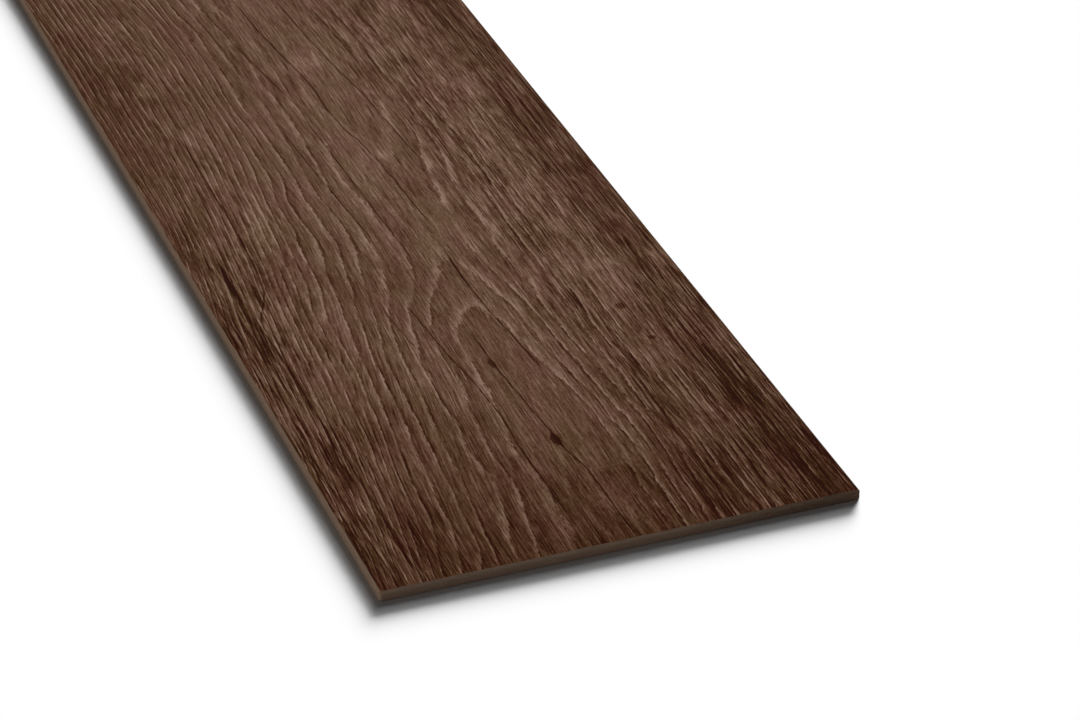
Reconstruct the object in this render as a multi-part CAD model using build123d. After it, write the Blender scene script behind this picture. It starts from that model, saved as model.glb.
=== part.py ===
from build123d import *

import os

# A loose-lay vinyl floor plank: a single board of filled vinyl, pressed flat as one laminate and cut to a
# stock size. Its long sides and ends are plain butt edges, with a bevel round the wear face and an eased
# edge round the underside. The frame's origin is the centre of the underside, Y runs along the plank and
# Z points up out of the wear face.

# Driving dimensions, in millimetres
PLANK_LENGTH = 1219.2
PLANK_WIDTH = 228.6
PLANK_THICKNESS = 5.0
BEVEL_WIDTH = 1.0
BEVEL_DEPTH = 1.0
CORNER_RADIUS = 1.5
UNDERSIDE_EASING = 0.4


def edge_section(span):
    """Upright section of the plank between two opposite edges: bevelled on top, eased underneath."""
    half = span / 2
    shoulder = PLANK_THICKNESS - BEVEL_DEPTH
    with BuildSketch() as section:
        with BuildLine():
            Polyline(
                (-half, 0),
                (half, 0),
                (half, shoulder),
                (half - BEVEL_WIDTH, PLANK_THICKNESS),
                (BEVEL_WIDTH - half, PLANK_THICKNESS),
                (-half, shoulder),
                close=True,
            )
        make_face()
        lower_corners = section.vertices().sort_by(Axis.Y)[:2]
        fillet(lower_corners, UNDERSIDE_EASING)
    return section.sketch


def long_run():
    """The section across the plank, run along its length: it shapes the two long edges."""
    return extrude(Plane.XZ * edge_section(PLANK_WIDTH), amount=PLANK_LENGTH / 2, both=True)


def cross_run():
    """The section along the plank, run across its width: it shapes the two ends."""
    return extrude(Plane.YZ * edge_section(PLANK_LENGTH), amount=PLANK_WIDTH / 2, both=True)


def blank():
    """The cut blank: the plank's outline in plan, with its four upright corners rounded."""
    return extrude(RectangleRounded(PLANK_WIDTH, PLANK_LENGTH, CORNER_RADIUS), amount=PLANK_THICKNESS)


def plank():
    """One solid: the blank, with all four of its edges worked."""
    return blank() & long_run() & cross_run()


os.makedirs("parts", exist_ok=True)
export_step(plank(), "parts/plank.step")
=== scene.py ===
import math

import bmesh
import bpy
import numpy as np
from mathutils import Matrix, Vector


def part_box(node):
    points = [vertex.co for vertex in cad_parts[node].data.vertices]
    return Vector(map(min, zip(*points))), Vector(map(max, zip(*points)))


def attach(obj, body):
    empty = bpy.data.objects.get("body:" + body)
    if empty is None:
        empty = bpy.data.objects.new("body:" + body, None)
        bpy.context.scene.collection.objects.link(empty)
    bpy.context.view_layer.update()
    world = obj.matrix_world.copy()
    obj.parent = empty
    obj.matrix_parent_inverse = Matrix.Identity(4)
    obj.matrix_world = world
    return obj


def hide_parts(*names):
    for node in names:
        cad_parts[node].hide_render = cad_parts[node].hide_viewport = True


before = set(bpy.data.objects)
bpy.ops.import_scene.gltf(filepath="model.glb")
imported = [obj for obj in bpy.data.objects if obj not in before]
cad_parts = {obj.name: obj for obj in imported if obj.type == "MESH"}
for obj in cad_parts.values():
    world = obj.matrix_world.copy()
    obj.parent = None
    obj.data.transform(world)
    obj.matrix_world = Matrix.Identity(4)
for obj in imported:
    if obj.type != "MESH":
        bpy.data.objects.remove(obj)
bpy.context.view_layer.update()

# A vinyl floor plank with an embossed wood-grain face. The frame gives the plank's box. Along means
# millimetres from the near end of the wear face, and across means millimetres from its left edge.

MM = 0.001
LOW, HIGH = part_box("plank")

# Edge sizes in millimetres
BEVEL = 1.0
CORNER_RADIUS = 1.5
UNDERSIDE_EASING = 0.4
CORNER_STEPS = 6

# Mesh of the wear face, in cells
CELLS_ACROSS = 240
CELLS_ALONG = 360

# Relief of the wear face, in millimetres below the top of the box
RING_RELIEF = 0.05
CRACK_RELIEF = 0.1
SKIN_RELIEF = 0.03

# Noises of the relief, as a cell's size along and across in millimetres, and the seed. Their cells start
# a margin before the board.
RING_RELIEF_CELLS = (45, 9, 3)
SKIN_CELLS = (14, 1.6, 4)
NOISE_MARGIN = 50

# Material numbers of the plank's mesh
PRINT, EDGE, BACK = range(3)

FACE_WIDTH = (HIGH.x - LOW.x) / MM - 2 * BEVEL
FACE_LENGTH = (HIGH.y - LOW.y) / MM - 2 * BEVEL
FACE_X = np.linspace(LOW.x / MM + BEVEL, HIGH.x / MM - BEVEL, CELLS_ACROSS + 1)
FACE_Y = np.linspace(LOW.y / MM + BEVEL, HIGH.y / MM - BEVEL, CELLS_ALONG + 1)

# Growth lines of the board. Each one is a ring number and the points, along and across, that the line
# runs through.
GRAIN_LINES = (
    (10, ((5, 91), (12, 92.5), (22, 94.5), (45, 96), (72, 94), (100, 95.5), (120, 98.5), (145, 100),
          (165, 102), (182, 103.5), (193, 107), (202, 110.5), (209, 114), (212, 118), (209, 122),
          (202, 125.5), (190, 128.5), (175, 130.5), (160, 132.5), (140, 135.5), (118, 138), (92, 139),
          (60, 138), (30, 137), (5, 138))),
    (11, ((5, 75.5), (15, 77), (27, 79.5), (38, 81), (60, 83.5), (90, 82.5), (105, 84), (120, 85.5),
          (140, 88.5), (160, 90), (178, 91.5), (193, 94), (205, 97), (220, 100.5), (232, 107), (243, 111),
          (252, 115), (259, 120), (252, 127.5), (243, 131), (230, 134.5), (215, 137), (195, 138.5),
          (170, 140), (150, 141), (135, 142.5), (115, 145.5), (95, 145.5), (78, 146.5), (45, 145.5),
          (5, 144))),
    (12, ((3, 64), (20, 67), (32, 70), (45, 72.5), (60, 75), (85, 74.5), (100, 74.5), (118, 77.5),
          (135, 76.5), (150, 77.5), (165, 79), (182, 81.5), (195, 84), (208, 86.5), (222, 89.5),
          (235, 97), (243, 99.5), (253, 103), (270, 104.5), (285, 105), (300, 104), (320, 102.5),
          (340, 101.5), (360, 101.5), (375, 103), (390, 104), (410, 103.5), (430, 102.5), (447, 102.5),
          (465, 103.5), (482, 104), (500, 105.5), (515, 105), (535, 103.5), (547, 101.5), (560, 98.5),
          (620, 95), (700, 93), (780, 88), (880, 81), (1000, 77), (1217, 75))),
    (13, ((5, 55), (20, 57), (35, 59), (50, 60), (65, 61.5), (80, 63), (105, 64.5), (120, 67),
          (140, 68.5), (160, 70.5), (183, 73), (200, 75), (215, 77.5), (228, 82), (240, 85), (250, 88),
          (262, 91), (280, 93), (305, 92), (335, 91), (350, 91), (380, 92.5), (405, 94), (435, 95),
          (465, 93), (495, 93.5), (525, 92.5), (555, 89.5), (620, 85.5), (700, 84), (800, 78), (900, 72),
          (1000, 69), (1217, 67))),
    (14, ((8, 48), (18, 51), (35, 53), (50, 54), (65, 55.5), (95, 57.5), (115, 59.5), (138, 61.5),
          (162, 63), (182, 65), (203, 69), (222, 72.5), (242, 76), (258, 79), (275, 81.5), (290, 84),
          (320, 84.5), (350, 83.5), (385, 84), (405, 85.5), (430, 87), (450, 86.5), (480, 85.5),
          (520, 84.5), (560, 82), (640, 77), (720, 75), (820, 69), (920, 63), (1020, 61), (1217, 59))),
    (15, ((3, 37.5), (15, 41), (27, 44), (45, 45.5), (60, 47), (80, 49), (100, 51), (118, 53.5),
          (135, 55.5), (158, 57), (182, 59), (202, 61), (218, 64), (240, 68.5), (260, 71), (278, 73.5),
          (290, 75.7), (320, 76), (350, 76.5), (385, 77.5), (420, 77), (460, 76.5), (500, 77),
          (540, 77.5), (560, 75.5), (640, 70.5), (740, 67), (840, 61), (940, 56), (1040, 54),
          (1217, 52))),
    (16, ((10, 31), (22, 34), (33, 36.5), (48, 39), (62, 40), (78, 41.5), (93, 43.5), (107, 45),
          (130, 48), (155, 50.5), (178, 52.5), (200, 54.5), (220, 57.5), (247, 60.5), (265, 62.5),
          (283, 66), (297, 67.5), (325, 67.5), (345, 68), (358, 70), (385, 71.5), (412, 71.5),
          (440, 70.5), (480, 71), (530, 71.3), (560, 69.5), (640, 64), (740, 60), (840, 54), (940, 49),
          (1040, 47), (1217, 45))),
    (17, ((33, 31), (50, 33.5), (63, 35), (78, 36.5), (92, 38), (106, 39.5), (130, 43), (147, 44.5),
          (163, 46.5), (190, 48.5), (222, 50), (245, 54), (262, 56.5), (285, 58), (305, 60.5), (320, 62),
          (345, 62), (360, 64.5), (385, 66.5), (410, 66.8), (440, 66.5), (480, 67), (530, 67),
          (560, 66))),
    (18, ((72, 32), (88, 34), (103, 35.5), (117, 37), (142, 39.5), (155, 41), (170, 43), (190, 44),
          (215, 44.5), (240, 46.5), (262, 50), (290, 53), (320, 55), (345, 57), (370, 59.5), (395, 61.5),
          (440, 62.5), (480, 63), (530, 63.5))),
    (12, ((5, 150), (20, 150.5), (40, 151), (60, 152), (85, 152), (105, 151.5), (120, 150), (135, 149),
          (150, 148), (165, 147.5), (185, 147), (205, 145.5), (225, 143.5), (245, 140.5), (262, 139),
          (280, 138.5), (298, 138.5), (315, 140), (332, 142.5), (350, 145), (368, 148), (385, 151),
          (400, 151.5), (415, 152.5), (435, 152), (455, 151.5), (475, 151), (500, 150.5), (530, 148.5),
          (560, 147), (640, 145), (740, 146), (840, 149), (1000, 153), (1217, 154))),
    (13, ((5, 155), (20, 156), (40, 157), (60, 158), (80, 158.5), (100, 158.5), (120, 157.5), (140, 156),
          (160, 154.5), (195, 153), (235, 153), (270, 152), (290, 151.5), (310, 152), (330, 153),
          (345, 154.5), (358, 156), (390, 158.5), (430, 158.5), (470, 158.5), (500, 158), (530, 157),
          (640, 154), (740, 155), (860, 158), (1217, 161))),
    (14, ((5, 161), (40, 162.5), (75, 164.5), (95, 163.5), (130, 163.5), (150, 163), (190, 163.5),
          (225, 163.5), (265, 164), (300, 164.5), (320, 165), (360, 165), (400, 163.5), (430, 163),
          (470, 163.5), (530, 162.5), (640, 161), (740, 162), (860, 165), (1217, 168))),
    (15, ((5, 168.5), (60, 170), (95, 170.5), (130, 169.5), (160, 169), (185, 168.5), (240, 169.5),
          (290, 169), (320, 170.5), (350, 171), (375, 172), (400, 170), (430, 169), (500, 169.5),
          (530, 170.5), (640, 169), (860, 172), (1217, 174))),
    (16, ((5, 175), (60, 176), (130, 175), (190, 174.5), (300, 174.5), (360, 175.5), (420, 174.5),
          (480, 175.5), (530, 177), (640, 176), (860, 179), (1217, 180))),
    (11, ((384, 130), (392, 124.5), (402, 119), (415, 116), (435, 114.5), (455, 113.5), (468, 114.5),
          (477, 119), (480, 127), (474, 136), (464, 141), (450, 144.5), (432, 144.5), (417, 142.5),
          (403, 139.5), (393, 136))),
    (10, ((1217, 94), (1050, 95), (930, 97), (850, 100), (790, 105), (755, 113), (790, 121), (850, 127),
          (930, 131), (1050, 133), (1217, 134))),
    (11, ((1217, 84), (1050, 85.5), (930, 88), (850, 92), (780, 99), (720, 106), (695, 114), (720, 123),
          (780, 132), (850, 137.5), (930, 141), (1050, 143), (1217, 144))),
)

# Ring values between the lines, as value, along, across
RING_ANCHORS = (
    (9.3, 40, 117), (9.3, 100, 118), (9.5, 160, 118),
    (11.55, 290, 123), (11.6, 320, 125), (11.5, 345, 127),
    (10.4, 420, 130), (10.4, 450, 129),
    (11.5, 510, 128), (11.4, 560, 124), (11.5, 640, 121),
    (9.3, 900, 114), (9.3, 1050, 114), (9.3, 1180, 114),
    (25.5, 0, 0), (29.5, 120, 0), (31.5, 225, 0), (36, 335, 0), (36, 450, 0), (35.5, 600, 0), (31, 900, 0),
    (30, 1217, 0),
    (32.5, 0, 226), (32.5, 200, 226), (32.5, 400, 226), (32.5, 600, 226), (32.5, 800, 226), (32.5, 1000, 226),
    (32.5, 1217, 226),
)

# The spline through the ring values: how much longer than wide the grain is, how loosely the spline fits,
# and in how many parts it is worked out
RING_STRETCH = 4.0
RING_SMOOTHING = 2.0
SPLINE_PARTS = 60

# Waves of the growth lines, as size in rings, a cell's size along and across in millimetres, and the seed
RING_WAVES = ((0.12, 28, 11, 1), (0.07, 11, 5, 2))

# Gaps between growth lines, in millimetres, over which the lines go from crisp to soft
CRISP_GAP = 6
SOFT_GAP = 12

# Drying cracks and gashes, as half width and darkness, then the points, along and across
CRACKS = (
    (0.4, 0.9, ((20, 97.5), (85, 96.5), (115, 98), (150, 96), (175, 93), (190, 92), (230, 89.5))),
    (0.4, 1.0, ((0, 119.5), (60, 119), (75, 116), (110, 113.5), (150, 111), (190, 110))),
    (0.45, 1.0, ((140, 131), (180, 128), (200, 126), (240, 124), (275, 125))),
    (0.35, 0.6, ((105, 76.5), (140, 77), (185, 79.5))),
    (0.4, 0.7, ((175, 82), (205, 79), (230, 78))),
    (0.45, 0.9, ((260, 107), (290, 106.5), (330, 105), (372, 104), (425, 102.5))),
    (0.4, 0.7, ((290, 95), (330, 92), (380, 89), (420, 87))),
    (0.45, 1.0, ((295, 127.5), (320, 126), (350, 125), (375, 123.5), (392, 121.5), (405, 118.5),
                 (430, 116.5), (455, 117.5), (475, 116), (500, 113), (530, 110), (570, 108))),
    (0.35, 0.6, ((345, 134), (380, 133))),
    (0.35, 0.6, ((262, 152), (285, 150), (312, 147.5))),
    (0.45, 0.9, ((360, 145), (390, 143), (445, 140), (475, 136), (500, 134), (560, 130))),
    (0.4, 0.8, ((490, 149), (520, 147), (555, 145))),
    (0.35, 0.6, ((490, 158), (545, 155))),
    (0.4, 0.8, ((430, 105), (470, 99), (510, 94), (570, 88))),
    (1.3, 1.0, ((195, 14), (240, 15), (270, 15.5), (300, 16))),
    (0.6, 1.0, ((80, 16.5), (105, 15.5), (130, 18.5), (155, 18.5), (200, 18.5), (235, 17.5))),
    (0.6, 1.0, ((225, 18), (240, 21), (252, 26), (262, 29.5), (290, 32.5), (330, 34), (380, 34.5),
                (430, 35.5))),
    (0.5, 0.8, ((185, 9), (210, 10.5), (235, 12))),
    (0.9, 0.7, ((118, 173), (135, 172.5), (160, 171))),
    (1.1, 0.7, ((0, 213), (20, 212.5), (42, 211))),
    (1.0, 0.6, ((32, 198), (55, 196.5), (72, 196))),
    (0.6, 0.6, ((20, 208), (80, 208.5), (155, 207.5))),
    (0.6, 0.7, ((45, 212.5), (110, 212), (175, 211))),
    (0.5, 0.6, ((70, 203.5), (110, 203), (140, 202.5))),
)

# Distances from a crack's line, in millimetres: where it counts, where it shows, and where none is near
CRACK_REACH = 4
CRACK_SHOWN = 3.5
CRACK_NONE = 9.0

# A crack fades in from a little past its end to some way inside it, in millimetres
CRACK_PAST_END = 2
CRACK_TAPER = 15

# Soft shading of the print, as strength, along, across, half length and half width
SHADES = (
    (-0.05, 105, 24, 26, 5), (-0.10, 268, 32, 18, 3), (-0.08, 280, 50, 12, 5),
    (-0.04, 25, 33, 26, 14), (-0.04, 100, 209, 60, 6), (-0.10, 25, 168, 24, 12), (-0.06, 170, 174, 60, 4),
    (-0.07, 132, 197, 36, 3), (-0.06, 505, 171, 28, 3), (-0.06, 478, 194, 24, 3),
    (0.05, 380, 188, 180, 10), (0.05, 495, 129, 40, 11), (0.04, 350, 118, 50, 12), (0.04, 340, 48, 60, 12),
    (0.04, 240, 132, 60, 10), (0.04, 400, 115, 40, 6),
    (0.07, 40, 10, 60, 14), (-0.05, 115, 55, 45, 26), (-0.06, 110, 163, 45, 12), (-0.05, 215, 108, 30, 14),
    (-0.06, 480, 30, 110, 34), (0.09, 450, 212, 50, 12), (0.04, 335, 140, 25, 10),
    (0.04, 380, 112, 80, 14), (0.05, 240, 200, 25, 20), (0.05, 160, 138, 25, 8), (0.05, 75, 11, 45, 12),
    (0.03, 440, 130, 60, 14), (0.03, 60, 190, 30, 12), (-0.04, 235, 62, 30, 12),
    (0.06, 372, 181, 28, 5), (-0.10, 372, 193, 32, 6), (0.05, 408, 189, 8, 6), (-0.02, 300, 208, 45, 7),
    (0.04, 240, 8, 20, 8), (0.03, 500, 120, 30, 14), (-0.04, 520, 10, 40, 20), (-0.03, 120, 60, 40, 40),
)

# Knots, smudges and one scratch, as tone, along, across, half length and half width
SPOTS = (
    (-0.42, 87, 114.5, 6.0, 2.6),
    (-0.32, 160, 110, 5.5, 1.8),
    (-0.28, 188, 186.5, 3.2, 2.8),
    (-0.22, 155.5, 190, 2.2, 2.2),
    (-0.20, 533, 72.5, 2.4, 1.3),
    (0.13, 137, 123.5, 4.0, 2.2),
    (0.10, 131, 130, 3.0, 1.5),
    (0.15, 101, 150.5, 2.6, 2.0),
    (0.11, 106, 157, 3.0, 2.0),
    (0.07, 58, 127, 0.7, 9.0),
)

# Darkest to lightest tone of the print, as display luminance out of 255
PRINT_LUMINANCES = (14, 35, 55, 75, 95, 124)
TONE_SPAN = 128
PINK_TINT = (22.8, -5.0, -19.4)
OLIVE_TINT = (20.2, -3.9, -22.1)

# Noises of the print, as a cell's width and length in millimetres, detail, roughness and seed
RAG = (0.9, 4.5, 2.0, 0.6, 0.0)
COARSE = (4.5, 42.0, 2.0, 0.7, 1.0)
FINE = (0.8, 8.0, 2.0, 0.75, 2.0)
MOTTLE = (1.2, 2.6, 3.0, 0.75, 3.0)
PRESENCE = (1.0, 30.0, 2.0, 0.6, 4.0)
CLOUD = (14.0, 80.0, 2.0, 0.6, 5.0)
GASH = (1.5, 60.0, 2.0, 0.6, 6.0)
WANDER = (3.0, 9.0, 2.0, 0.6, 7.0)
SPOT_RAG = (1.2, 2.2, 2.0, 0.6, 8.0)
PALE_HAIR = (2.0, 42.0, 1.0, 0.5, 9.0)
DARK_HAIR = (1.8, 70.0, 1.0, 0.5, 10.0)
BLOTCH = (18.0, 40.0, 2.0, 0.6, 11.0)
FLECK = (1.2, 10.0, 3.0, 0.7, 12.0)
THREAD = (0.7, 22.0, 0.0, 0.5, 13.0)

# A growth line's cross section, in millimetres from its middle: where it rises, then where it falls
PALE_SIDE = ((-0.2, 0.1), (2.4, 0.5))
CREST = ((-0.15, 0.1), (0.8, 0.35))
DARK_SIDE = ((-1.8, -0.6), (0.0, -0.3))
PALE_SHARE = 0.8
CREST_SHARE = 0.5

# How far noise moves the sides of growth lines and cracks, in millimetres, and the rims of spots
RAG_REACH = 2.6
WANDER_REACH = 0.9
SPOT_RAG_REACH = 1.1

# How many cells apart two rings are in the noise that makes each one come and go
RING_APART = 7.31

# Weight of each part of the print in its tone
BASE_TONE = 0.568
RING_TONE = 0.21
HAIR_TONE = 0.17
COARSE_TONE = 0.38
FINE_TONE = 0.66
MOTTLE_TONE = 0.42
THREAD_TONE = 0.50
CLOUD_TONE = 0.30
FLECK_TONE = 1.2
GASH_TONE = -0.32
CRACK_TONE = -0.36

# Fine part of the embossing, in millimetres
RING_BUMP = 0.05
HAIR_BUMP = 0.02
FINE_BUMP = 0.06
MOTTLE_BUMP = 0.02
GASH_BUMP = -0.04
CRACK_BUMP = -0.06

# Cut edges: tones, the knife's noise, the grit's cells in a millimetre, the painted shade by which tone falls
# to the right and rises to the top, and how rough it is
EDGE_TONES = ((0.0, (62, 47, 37)), (0.5, (105, 87, 73)), (1.0, (130, 110, 94)))
KNIFE_DRAG = (9.0, 0.5, 3.0, 0.6, 0.0)
GRIT_CELLS = 2.2
EDGE_PAINTED_SHADE_RIGHT = (0.38, 0.06)
EDGE_PAINTED_SHADE_LOW = 0.12
EDGE_ROUGH = 0.5
DRAG_BUMP = 0.06
GRIT_BUMP = 0.03

# Backing: tones, the noise of its cloud, and its ribs
BACKING_TONES = ((0.2, (58, 52, 47)), (0.9, (84, 77, 71)))
BACKING_CLOUD = (30.0, 30.0, 3.0, 0.6, 0.0)
BACKING_TONE = 0.5
RIB_TURN = 2.2
RIB_TONE = 0.12
RIB_HEIGHT = 0.1

# Camera, from the photograph's vanishing points
LENS = 133.571
SENSOR = 36
CAMERA_PLACE = (-0.5532, -1.9666, 0.9955)
CAMERA_PITCH = 31.485
CAMERA_YAW = 20.72
FARTHEST_SEEN = 100

# Lamps, as strength, elevation, azimuth and angular size. Azimuth 0 shines from beyond the far end, and
# 90 from the right. The floor has its own lamps, a low row and a higher one, for the wide soft shadow.
# The plank has a key and a fill.
SHADOW_ROW = (3.34, 15.5, 34, 16)
SHADOW_TURNS = (-7, 0, 7)
SHADOW_TOP = (0.9, 31, 34, 31)
KEY_LAMP = (3.6, 42, 35, 30)
FILL_LAMP = (1.9, 12, -113, 24)
SKY_STRENGTH = 0.045

# Floor: its size in metres, its gap below the plank in millimetres, and its white
FLOOR_SIZE = 60.0
FLOOR_GAP = 0.02
FLOOR_WHITE = 0.96


def linear(*display):
    """A display colour out of 255 as the linear colour that a shader takes."""
    share = np.array(display) / 255
    curve = np.where(share <= 0.04045, share / 12.92, ((share + 0.055) / 1.055) ** 2.4)
    return (*curve.tolist(), 1.0)


def smooth_step(start, end, value):
    share = np.clip((value - start) / (end - start), 0, 1)
    return share * share * (3 - 2 * share)


def soft_noise(along, across, cell_along, cell_across, seed):
    """Smooth noise from -1 to 1 on cells of that size, in millimetres."""
    row = (along + NOISE_MARGIN) / cell_along
    column = (across + NOISE_MARGIN) / cell_across
    shape = (int(row.max()) + 2, int(column.max()) + 2)
    lattice = np.random.default_rng(seed).uniform(-1, 1, shape)
    i = np.floor(row).astype(int)
    j = np.floor(column).astype(int)
    s = smooth_step(0, 1, row - i)
    t = smooth_step(0, 1, column - j)
    near = lattice[i, j] * (1 - t) + lattice[i, j + 1] * t
    far = lattice[i + 1, j] * (1 - t) + lattice[i + 1, j + 1] * t
    return near * (1 - s) + far * s


def ring_surface():
    """A function of along and across that passes smoothly through the growth lines: a thin plate spline."""
    known = [(along, across, ring) for ring, line in GRAIN_LINES for along, across in line]
    known += [(along, across, ring) for ring, along, across in RING_ANCHORS]
    known = np.array(known)
    places = known[:, :2] / (RING_STRETCH, 1)

    def spread(one, other):
        squared = ((one[:, None] - other[None]) ** 2).sum(2)
        return squared * np.log(squared + 1e-9)

    count = len(known)
    system = np.zeros((count + 3, count + 3))
    system[:count, :count] = spread(places, places) + RING_SMOOTHING * np.eye(count)
    system[:count, count] = 1
    system[:count, count + 1:] = places
    system[count:, :count] = system[:count, count:].T
    weights = np.linalg.solve(system, np.append(known[:, 2], (0, 0, 0)))

    def value(along, across):
        wanted = np.c_[along / RING_STRETCH, across]
        found = [spread(part, places) @ weights[:count] for part in np.array_split(wanted, SPLINE_PARTS)]
        return np.concatenate(found) + weights[count] + wanted @ weights[count + 1:]

    return value


def ring_fields(along, across):
    """Ring number at each point, with small waves, and how crisp the growth lines are there."""
    surface = ring_surface()
    ring = surface(along, across)
    slope = np.hypot(surface(along + 1, across) - ring, surface(along, across + 1) - ring)
    crisp = smooth_step(SOFT_GAP, CRISP_GAP, 1 / np.maximum(slope, 0.01))
    for size, cell_along, cell_across, seed in RING_WAVES:
        ring += size * soft_noise(along, across, cell_along, cell_across, seed)
    return ring, crisp


# Each field below says where on the board it changes, in millimetres along and across.


def line_field(along, across):
    """How much the growth lines show: less in the calm tan band, round the island and far away."""
    calm = 0.45 * smooth_step(168, 182, across) * smooth_step(140, 240, along)
    island = 0.55 * np.exp(-((along - 425) / 55) ** 2 - ((across - 129) / 20) ** 2)
    far = 0.3 * smooth_step(400, 500, along) * smooth_step(60, 90, across)
    return (1 - calm) * (1 - island) * (1 - far)


def speckle_field(along, across):
    """How rough the print is: less on the left and along the far right margin, where long thin lines show."""
    left = (0.18 + 0.27 * smooth_step(300, 420, along)) * smooth_step(90, 60, across)
    far_right = 0.3 * smooth_step(196, 208, across) * smooth_step(180, 270, along)
    return 1 - left - far_right


def comb_field(along, across):
    """How much hair lines show: less in the smooth cores of the tongue and the island, most on the right."""
    tongue = 0.65 * smooth_step(240, 190, along) * np.exp(-((across - 117) / 16) ** 2)
    island = 0.4 * np.exp(-((along - 425) / 45) ** 2 - ((across - 129) / 15) ** 2)
    right = 0.7 * smooth_step(135, 158, across) * smooth_step(120, 230, along)
    return 1 - tongue - island + right


def fleck_field(along, across):
    """How much short flecks break up the print: most on the right, away from the near end."""
    right = smooth_step(146, 172, across) * (1 - 0.6 * smooth_step(194, 206, across))
    return 0.2 + 0.35 * right * smooth_step(190, 270, along)


def fibre_field(along, across):
    """Across, bent so that fibres lean with the growth lines on the left flank."""
    lean = 30 * smooth_step(0, 330, along)
    lean -= 10 * smooth_step(480, 700, along)
    lean -= 20 * smooth_step(700, 1100, along)
    return across - lean * np.exp(-((across - 62) / 36) ** 2)


def crack_fields(along, across):
    """Signed distance to the nearest crack, its half width and its darkness."""
    offset = np.full(along.shape, CRACK_NONE)
    width = np.full(along.shape, 0.5)
    darkness = np.zeros(along.shape)
    for half_width, dark, line in CRACKS:
        points = np.array(line)
        aside = across - np.interp(along, points[:, 0], points[:, 1])
        start, end = points[0, 0], points[-1, 0]
        fade_in = smooth_step(start - CRACK_PAST_END, start + CRACK_TAPER, along)
        fade_out = smooth_step(end + CRACK_PAST_END, end - CRACK_TAPER, along)
        taper = np.minimum(fade_in, fade_out)
        nearer = (np.abs(aside) < np.minimum(np.abs(offset), CRACK_REACH)) & (taper > 0)
        offset = np.where(nearer, aside, offset)
        width = np.where(nearer, half_width, width)
        darkness = np.where(nearer, dark * taper * (np.abs(aside) < CRACK_SHOWN), darkness)
    return offset, width, darkness


def shade_field(along, across):
    """Broad light and dark of the print, as a change of tone."""
    shade = -0.11 * smooth_step(30, 2, across) - 0.13 * smooth_step(196, 208, across)
    shade -= 0.20 * smooth_step(150, -10, along)
    for strength, mid_along, mid_across, half_length, half_width in SHADES:
        far = ((along - mid_along) / half_length) ** 2 + ((across - mid_across) / half_width) ** 2
        shade += strength * np.exp(-far)
    return shade


def streak_field(along, across):
    """How much the dark streaks of weathering show: most along the two margins and at the near end."""
    left = smooth_step(48, 8, across) * (0.2 + 0.8 * smooth_step(340, 240, along))
    right = smooth_step(146, 176, across) * (0.25 + 0.65 * smooth_step(260, 120, along))
    right *= 1 - 0.6 * np.exp(-((across - 187) / 9) ** 2) * smooth_step(60, 190, along)
    right += 0.2 * smooth_step(196, 206, across) * smooth_step(120, 260, along)
    end = 0.25 * smooth_step(60, 0, along)
    return np.clip(left + right + end, 0, 1)


def ring_height(ring):
    """Height over one ring, from 0 to 1: a sharp rise at the growth line, then a long fall."""
    part = ring - np.floor(ring)
    return np.maximum(smooth_step(0.9, 1.0, part), smooth_step(0.42, 0.08, part))


def face_relief(along, across, fields):
    """Depth of the embossing below the top of the box, in millimetres."""
    lines = 1 - ring_height(fields["ring"])
    strength = 0.65 + 0.35 * soft_noise(along, across, *RING_RELIEF_CELLS)
    nearness = np.abs(fields["crack_offset"]) / fields["crack_width"]
    crack = fields["crack_dark"] * smooth_step(1.9, 0.4, nearness)
    skin = 0.5 + 0.5 * soft_noise(along, across, *SKIN_CELLS)
    strength *= 0.2 + 0.8 * fields["crisp"]
    return RING_RELIEF * lines * strength + CRACK_RELIEF * crack + SKIN_RELIEF * skin


def grain_fields(along, across):
    offset, width, dark = crack_fields(along, across)
    ring, crisp = ring_fields(along, across)
    return {
        "ring": ring,
        "crisp": crisp,
        "line": line_field(along, across),
        "comb": comb_field(along, across),
        "speckle": speckle_field(along, across),
        "fleck": fleck_field(along, across),
        "fibre": fibre_field(along, across),
        "shade": shade_field(along, across),
        "streak": streak_field(along, across),
        "crack_offset": offset,
        "crack_width": width,
        "crack_dark": dark,
    }


def rim_walk():
    """Once round the wear face, as the face's own vertex, the way out and the outermost point."""
    stride = CELLS_ACROSS + 1
    last = CELLS_ALONG * stride
    near = [(i, (0, -1), (FACE_X[i], LOW.y / MM)) for i in range(1, CELLS_ACROSS)]
    right = [(j * stride + CELLS_ACROSS, (1, 0), (HIGH.x / MM, FACE_Y[j])) for j in range(1, CELLS_ALONG)]
    far = [(last + i, (0, 1), (FACE_X[i], HIGH.y / MM)) for i in range(CELLS_ACROSS - 1, 0, -1)]
    left = [(j * stride, (-1, 0), (LOW.x / MM, FACE_Y[j])) for j in range(CELLS_ALONG - 1, 0, -1)]
    corners = (
        (CELLS_ACROSS, HIGH.x / MM - CORNER_RADIUS, LOW.y / MM + CORNER_RADIUS, -90),
        (last + CELLS_ACROSS, HIGH.x / MM - CORNER_RADIUS, HIGH.y / MM - CORNER_RADIUS, 0),
        (last, LOW.x / MM + CORNER_RADIUS, HIGH.y / MM - CORNER_RADIUS, 90),
        (0, LOW.x / MM + CORNER_RADIUS, LOW.y / MM + CORNER_RADIUS, 180),
    )
    walk = []
    for side, (vertex, middle_x, middle_y, start) in zip((near, right, far, left), corners):
        walk += side
        for step in range(CORNER_STEPS + 1):
            turn = math.radians(start + 90 * step / CORNER_STEPS)
            out = (math.cos(turn), math.sin(turn))
            edge = (middle_x + CORNER_RADIUS * out[0], middle_y + CORNER_RADIUS * out[1])
            walk.append((vertex, out, edge))
    return walk


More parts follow.
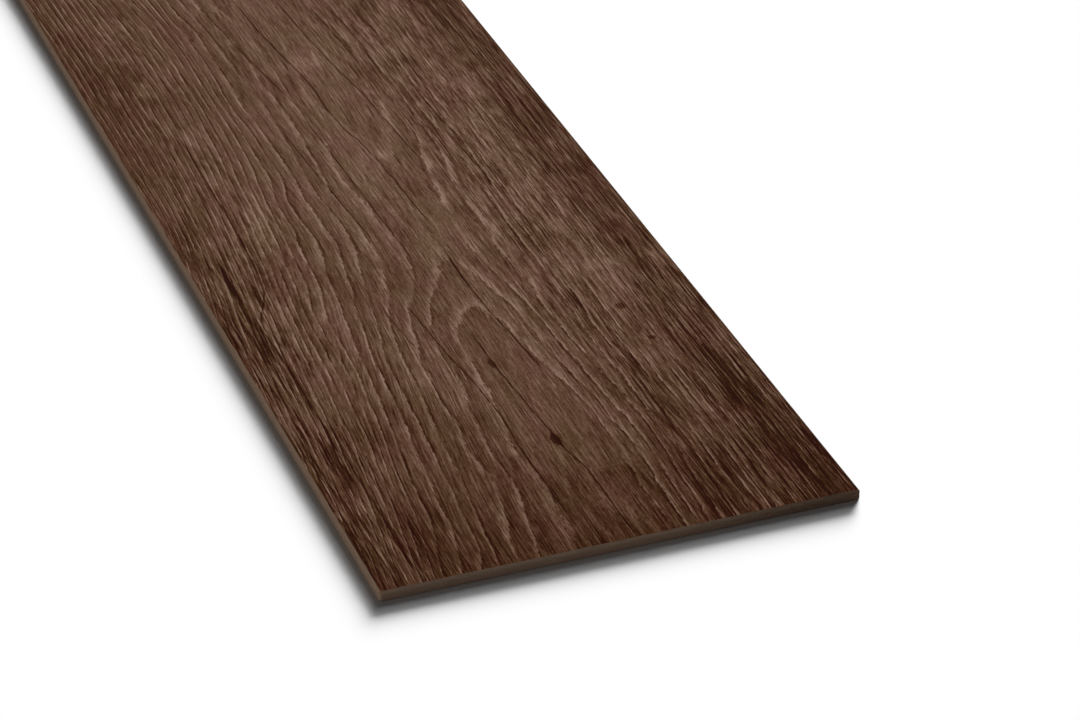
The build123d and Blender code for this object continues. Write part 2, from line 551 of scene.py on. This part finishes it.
def plank_faces(walk, loops):
    """Faces and their material numbers: the printed face, the cut edges and the backing."""
    stride = CELLS_ACROSS + 1
    faces = []
    for j in range(CELLS_ALONG):
        row = j * stride
        faces += [(row + i, row + i + 1, row + i + 1 + stride, row + i + stride) for i in range(CELLS_ACROSS)]
    materials = [PRINT] * len(faces)
    rings = [[step[0] for step in walk]] + loops
    count = len(walk)
    for upper, lower in zip(rings[:-1], rings[1:]):
        for k in range(count):
            m = (k + 1) % count
            corners = (upper[k], lower[k], lower[m], upper[m])
            faces.append(tuple(dict.fromkeys(corners)))
            materials.append(EDGE)
    bottom = loops[-1]
    first_right = CELLS_ACROSS - 1 + CORNER_STEPS + 1
    side_count = CELLS_ALONG - 1
    first_far = first_right + side_count
    first_left = first_far + 2 * (CORNER_STEPS + 1) + CELLS_ACROSS - 1
    right = bottom[first_right:first_right + side_count]
    left = bottom[first_left:first_left + side_count][::-1]
    strips = [(right[j], left[j], left[j + 1], right[j + 1]) for j in range(side_count - 1)]
    near_end = bottom[first_left + side_count - 1:] + bottom[:first_right + 1]
    far_end = bottom[first_far - 1:first_left + 1]
    under = strips + [tuple(near_end[::-1]), tuple(far_end[::-1])]
    return faces + under, materials + [BACK] * len(under)


def plank_mesh():
    """One closed mesh: the embossed face, the bevel, the cut sides, the eased lower edge and the backing."""
    top = HIGH.z / MM
    grid_y, grid_x = np.meshgrid(FACE_Y, FACE_X, indexing="ij")
    points = np.c_[grid_x.ravel(), grid_y.ravel(), np.full(grid_x.size, top)]
    walk = rim_walk()
    # The lower edge is a quarter round, with one point half way
    ease = UNDERSIDE_EASING * (1 - math.sqrt(0.5))
    profile = ((0, top - BEVEL), (0, UNDERSIDE_EASING), (ease, ease), (UNDERSIDE_EASING, 0))
    loops = []
    for inset, height in profile:
        loops.append(list(range(len(points), len(points) + len(walk))))
        ring = [(edge[0] - out[0] * inset, edge[1] - out[1] * inset, height) for _, out, edge in walk]
        points = np.concatenate((points, ring))
    along = np.clip(points[:, 1] - FACE_Y[0], 0, FACE_LENGTH)
    across = np.clip(points[:, 0] - FACE_X[0], 0, FACE_WIDTH)
    fields = grain_fields(along, across)
    on_face = grid_x.size
    points[:on_face, 2] -= face_relief(along, across, fields)[:on_face]
    faces, materials = plank_faces(walk, loops)
    mesh = bpy.data.meshes.new("embossed_plank")
    mesh.from_pydata((points * MM).tolist(), [], faces)
    mesh.polygons.foreach_set("material_index", materials)
    mesh.polygons.foreach_set("use_smooth", [number == PRINT for number in materials])
    for name, values in fields.items():
        attribute = mesh.attributes.new(name, "FLOAT", "POINT")
        attribute.data.foreach_set("value", values.astype(np.float32))
    return mesh


def sharpen_borders(mesh):
    """Keeps the shading crisp where two materials meet."""
    work = bmesh.new()
    work.from_mesh(mesh)
    for edge in work.edges:
        if len({face.material_index for face in edge.link_faces}) > 1:
            edge.smooth = False
    work.to_mesh(mesh)
    work.free()


class Graph:
    """A material's nodes, made by short calls. An input is a number, a colour or another node's output."""

    def __init__(self, name):
        self.material = bpy.data.materials.new(name)
        self.material.use_nodes = True
        self.tree = self.material.node_tree
        self.tree.nodes.clear()

    def node(self, kind, inputs=(), **settings):
        made = self.tree.nodes.new("ShaderNode" + kind)
        for name, value in settings.items():
            setattr(made, name, value)
        for socket, value in dict(inputs).items():
            if isinstance(value, bpy.types.NodeSocket):
                self.tree.links.new(value, made.inputs[socket])
            else:
                made.inputs[socket].default_value = value
        return made

    def math(self, operation, *values):
        return self.node("Math", enumerate(values), operation=operation).outputs[0]

    def sum(self, start, *parts):
        """The start plus each part times its weight."""
        total = start
        for part, weight in parts:
            total = self.math("MULTIPLY_ADD", part, weight, total)
        return total

    def field(self, name):
        return self.node("Attribute", attribute_name=name).outputs["Fac"]

    def place(self):
        """Object coordinates in millimetres, as three outputs."""
        spot = self.node("TexCoord").outputs["Object"]
        scaled = self.node("VectorMath", ((0, spot), (3, 1 / MM)), operation="SCALE").outputs[0]
        return self.node("SeparateXYZ", ((0, scaled),)).outputs

    def noise(self, x, y, detail, roughness, shift):
        """Noise from about -0.5 to 0.5 at a place that is already in cells."""
        spot = self.node("CombineXYZ", ((0, x), (1, y), (2, shift))).outputs[0]
        inputs = {"Vector": spot, "Scale": 1.0, "Detail": detail, "Roughness": roughness}
        value = self.node("TexNoise", inputs, noise_dimensions="3D").outputs["Fac"]
        return self.math("SUBTRACT", value, 0.5)

    def grain(self, x, y, cells):
        """Noise on cells of a width and length in millimetres, with its detail, roughness and seed."""
        width, length, detail, roughness, seed = cells
        column = self.math("DIVIDE", x, width)
        row = self.math("DIVIDE", y, length)
        return self.noise(column, row, detail, roughness, seed)

    def band(self, value, start, end, low=0.0, high=1.0):
        """A smooth change from low to high as the value goes from start to end."""
        inputs = {"Value": value, "From Min": start, "From Max": end, "To Min": low, "To Max": high}
        return self.node("MapRange", inputs, interpolation_type="SMOOTHSTEP").outputs[0]

    def ridge(self, value, rise, fall):
        """A rise from 0 to 1 over one stretch of the value, and a fall back to 0 over another."""
        return self.math("MULTIPLY", self.band(value, *rise), self.band(value, *fall))

    def ramp(self, value, stops):
        """A colour that follows the value through display colours out of 255."""
        made = self.node("ValToRGB", ((0, value),))
        points = made.color_ramp.elements
        while len(points) < len(stops):
            points.new(1.0)
        for point, (position, colour) in zip(points, stops):
            point.position = position
            point.color = linear(*colour)
        return made.outputs["Color"]

    def blend(self, share, one, other):
        inputs = {"Factor": share, "A": one, "B": other}
        made = self.node("Mix", data_type="RGBA")
        sockets = {socket.name: socket for socket in made.inputs if socket.enabled}
        for name, value in inputs.items():
            self.tree.links.new(value, sockets[name])
        return next(socket for socket in made.outputs if socket.enabled)

    def bump(self, height, depth=1.0):
        """A normal from a height, which counts in units of that depth in millimetres."""
        inputs = {"Strength": 1.0, "Distance": depth * MM, "Height": height}
        return self.node("Bump", inputs).outputs[0]

    def finish(self, colour, normal, **constants):
        inputs = {"Base Color": colour, "Normal": normal}
        inputs.update({name.replace("_", " "): value for name, value in constants.items()})
        surface = self.node("BsdfPrincipled", inputs).outputs[0]
        self.node("OutputMaterial", (("Surface", surface),))
        return self.material


def grey(value):
    return (value, value, value, 1.0)


def print_tones(tint):
    """The print's colours, dark to light. The tint is how red, green and blue differ from the luminance."""
    stops = []
    for level in PRINT_LUMINANCES:
        colour = [max(level + change, 2) for change in tint]
        stops.append((level / TONE_SPAN, colour))
    return stops


def growth_lines(g, x, y):
    """Thin pale ridges with a crest, dark on the inner side, ragged, that come and go along the board."""
    ring = g.field("ring")
    number = g.math("FLOOR", g.math("ADD", ring, 0.5))
    aside = g.math("MULTIPLY", g.math("SUBTRACT", ring, number), CRISP_GAP)
    rag = g.math("MULTIPLY", g.grain(x, y, RAG), g.field("speckle"))
    aside = g.math("MULTIPLY_ADD", rag, RAG_REACH, aside)
    pale = g.math("MULTIPLY", g.ridge(aside, *PALE_SIDE), PALE_SHARE)
    pale = g.math("MULTIPLY_ADD", g.ridge(aside, *CREST), CREST_SHARE, pale)
    dark = g.ridge(aside, *DARK_SIDE)
    dark = g.math("MULTIPLY", dark, g.math("MULTIPLY_ADD", g.field("crisp"), 0.8, 0.2))
    presence = g.grain(g.math("MULTIPLY", number, RING_APART), y, PRESENCE)
    presence = g.band(presence, -0.18, 0.12, 0.35, 1.15)
    presence = g.math("MULTIPLY", presence, g.field("line"))
    return g.math("MULTIPLY", g.math("SUBTRACT", pale, dark), presence)


def hair_lines(g, fibre, y):
    """Thin lines along the fibres, pale and dark."""
    pale = g.band(g.math("ABSOLUTE", g.grain(fibre, y, PALE_HAIR)), 0.06, 0.02)
    dark = g.band(g.math("ABSOLUTE", g.grain(fibre, y, DARK_HAIR)), 0.07, 0.02)
    hair = g.math("SUBTRACT", pale, dark)
    hair = g.math("MULTIPLY", hair, g.math("MULTIPLY_ADD", g.field("streak"), 0.5, 0.5))
    return g.math("MULTIPLY", hair, g.field("comb"))


def gashes(g, fibre, y):
    """Weathered streaks: dark, narrow, and mostly along the margins."""
    return g.math("MULTIPLY", g.band(g.grain(fibre, y, GASH), 0.02, 0.12), g.field("streak"))


def drying_cracks(g, x, y):
    """Cracks that wander a little about their lines."""
    aside = g.math("MULTIPLY_ADD", g.grain(x, y, WANDER), WANDER_REACH, g.field("crack_offset"))
    aside = g.math("DIVIDE", g.math("ABSOLUTE", aside), g.field("crack_width"))
    return g.math("MULTIPLY", g.band(aside, 1.5, 0.4), g.field("crack_dark"))


def spots(g, x, y):
    """The knots, smudges and scratch with their ragged rims, each with its weight in the tone."""
    rag = g.grain(x, y, SPOT_RAG)
    parts = []
    for strength, along, across, half_length, half_width in SPOTS:
        offset_x = g.math("DIVIDE", g.math("SUBTRACT", x, FACE_X[0] + across), half_width)
        offset_y = g.math("DIVIDE", g.math("SUBTRACT", y, FACE_Y[0] + along), half_length)
        far = g.math("SQRT", g.math("ADD", g.math("POWER", offset_x, 2.0), g.math("POWER", offset_y, 2.0)))
        far = g.math("MULTIPLY_ADD", rag, SPOT_RAG_REACH, far)
        parts.append((g.band(far, 1.15, 0.55), strength))
    return parts


def printed_wood():
    """The wear face: growth rings, fibres, weathered streaks, cracks and smudges of an old pine board."""
    g = Graph("printed_wood")
    x, y, _ = g.place()
    fibre = g.field("fibre")
    rings = growth_lines(g, x, y)
    hair = hair_lines(g, fibre, y)
    gash = gashes(g, fibre, y)
    crack = drying_cracks(g, x, y)
    coarse = g.grain(fibre, y, COARSE)
    fine = g.grain(fibre, y, FINE)
    mottle = g.grain(x, y, MOTTLE)
    thread = g.grain(fibre, y, THREAD)
    cloud = g.grain(x, y, CLOUD)
    fleck = g.math("MULTIPLY", g.grain(fibre, y, FLECK), g.field("fleck"))

    speckle = g.math("MULTIPLY", coarse, COARSE_TONE)
    speckle = g.sum(speckle, (fine, FINE_TONE), (mottle, MOTTLE_TONE))
    speckle = g.sum(speckle, (thread, THREAD_TONE), (cloud, CLOUD_TONE))
    tone = g.math("ADD", BASE_TONE, g.field("shade"))
    tone = g.sum(tone, (rings, RING_TONE), (hair, HAIR_TONE), (speckle, g.field("speckle")))
    tone = g.sum(tone, (fleck, FLECK_TONE), (gash, GASH_TONE), (crack, CRACK_TONE), *spots(g, x, y))
    pink = g.ramp(tone, print_tones(PINK_TINT))
    olive = g.ramp(tone, print_tones(OLIVE_TINT))
    colour = g.blend(g.band(g.grain(x, y, BLOTCH), -0.2, 0.2), pink, olive)

    height = g.math("MULTIPLY", rings, RING_BUMP)
    height = g.sum(height, (hair, HAIR_BUMP), (fine, FINE_BUMP), (mottle, MOTTLE_BUMP))
    height = g.sum(height, (gash, GASH_BUMP), (crack, CRACK_BUMP))
    return g.finish(colour, g.bump(height), Roughness=0.6, Specular_IOR_Level=0.02)


def cut_edge():
    """Bevel, sides and ends: filled vinyl, drawn by the knife, with painted shade, darker to the floor and
    the right.
    """
    g = Graph("cut_edge")
    x, y, z = g.place()
    drag = g.grain(g.math("ADD", x, y), z, KNIFE_DRAG)
    grit = g.noise(g.math("MULTIPLY", x, GRIT_CELLS), g.math("MULTIPLY", y, GRIT_CELLS), 2.0, 0.6, z)
    level = g.math("DIVIDE", z, HIGH.z / MM)
    # Painted shade: the tone falls from the left to the right and rises from the floor to the wear face.
    tone = g.band(x, 0.0, HIGH.x / MM, *EDGE_PAINTED_SHADE_RIGHT)
    tone = g.sum(tone, (level, EDGE_PAINTED_SHADE_LOW), (drag, EDGE_ROUGH), (grit, EDGE_ROUGH))
    colour = g.ramp(tone, EDGE_TONES)
    height = g.sum(g.math("MULTIPLY", grit, GRIT_BUMP), (drag, DRAG_BUMP))
    return g.finish(colour, g.bump(height), Roughness=0.7, Specular_IOR_Level=0.02)


def backing():
    """The underside: matt dark vinyl with a fine grip pattern of small crossed ribs."""
    g = Graph("backing")
    x, y, _ = g.place()
    first = g.math("SINE", g.math("MULTIPLY", g.math("ADD", x, y), RIB_TURN))
    second = g.math("SINE", g.math("MULTIPLY", g.math("SUBTRACT", x, y), RIB_TURN))
    ribs = g.math("MAXIMUM", first, second)
    tone = g.math("ADD", g.grain(x, y, BACKING_CLOUD), BACKING_TONE)
    colour = g.ramp(g.sum(tone, (ribs, RIB_TONE)), BACKING_TONES)
    return g.finish(colour, g.bump(ribs, RIB_HEIGHT), Roughness=0.8, Specular_IOR_Level=0.1)


def floor_paper():
    """White floor that keeps the shadow."""
    g = Graph("floor_paper")
    plain = g.node("BsdfDiffuse", {"Color": grey(FLOOR_WHITE)}).outputs[0]
    g.node("OutputMaterial", (("Surface", plain),))
    return g.material


def make_plank():
    mesh = plank_mesh()
    sharpen_borders(mesh)
    for material in (printed_wood(), cut_edge(), backing()):
        mesh.materials.append(material)
    plank = bpy.data.objects.new("embossed_plank", mesh)
    bpy.context.scene.collection.objects.link(plank)
    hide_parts("plank")
    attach(plank, "root")
    return plank


def make_floor():
    half = FLOOR_SIZE / 2
    level = LOW.z - FLOOR_GAP * MM
    mesh = bpy.data.meshes.new("floor")
    corners = [(-half, -half, level), (half, -half, level), (half, half, level), (-half, half, level)]
    mesh.from_pydata(corners, [], [(0, 1, 2, 3)])
    mesh.materials.append(floor_paper())
    floor = bpy.data.objects.new("floor", mesh)
    bpy.context.scene.collection.objects.link(floor)
    return floor


def make_sun(name, lamp, lit):
    """A soft sun that lights one object only, and gives no glare."""
    strength, elevation, azimuth, size = lamp
    light = bpy.data.lights.new(name, "SUN")
    light.energy = strength
    light.angle = math.radians(size)
    sun = bpy.data.objects.new(name, light)
    sun.rotation_euler = (math.radians(elevation - 90), 0, math.radians(-azimuth))
    sun.visible_glossy = False
    bpy.context.scene.collection.objects.link(sun)
    receivers = bpy.data.collections.new(name + "_lights")
    receivers.objects.link(lit)
    sun.light_linking.receiver_collection = receivers


def make_sky():
    world = bpy.data.worlds.new("sky")
    bpy.context.scene.world = world
    world.use_nodes = True
    tree = world.node_tree
    tree.nodes.clear()
    path = tree.nodes.new("ShaderNodeLightPath")
    seen = path.outputs["Is Camera Ray"]
    for kind in ("Is Glossy Ray", "Is Transmission Ray"):
        either = tree.nodes.new("ShaderNodeMath")
        either.operation = "MAXIMUM"
        tree.links.new(seen, either.inputs[0])
        tree.links.new(path.outputs[kind], either.inputs[1])
        seen = either.outputs[0]
    strength = tree.nodes.new("ShaderNodeMapRange")
    strength.inputs["To Min"].default_value = SKY_STRENGTH
    strength.inputs["To Max"].default_value = 1.0
    tree.links.new(seen, strength.inputs["Value"])
    light = tree.nodes.new("ShaderNodeBackground")
    tree.links.new(strength.outputs[0], light.inputs["Strength"])
    light.inputs["Color"].default_value = grey(1.0)
    out = tree.nodes.new("ShaderNodeOutputWorld")
    tree.links.new(light.outputs[0], out.inputs["Surface"])


def make_camera():
    data = bpy.data.cameras.new("camera")
    data.lens = LENS
    data.sensor_width = SENSOR
    data.clip_end = FARTHEST_SEEN
    camera = bpy.data.objects.new("camera", data)
    camera.location = CAMERA_PLACE
    camera.rotation_euler = (math.radians(90 - CAMERA_PITCH), 0, math.radians(-CAMERA_YAW))
    bpy.context.scene.collection.objects.link(camera)
    bpy.context.scene.camera = camera


plank = make_plank()
floor = make_floor()
strength, elevation, azimuth, size = SHADOW_ROW
for turn in SHADOW_TURNS:
    make_sun("shadow_lamp", (strength, elevation, azimuth + turn, size), floor)
make_sun("shadow_top", SHADOW_TOP, floor)
make_sun("key_lamp", KEY_LAMP, plank)
make_sun("fill_lamp", FILL_LAMP, plank)
make_sky()
make_camera()
bpy.context.scene.view_settings.view_transform = "Standard"
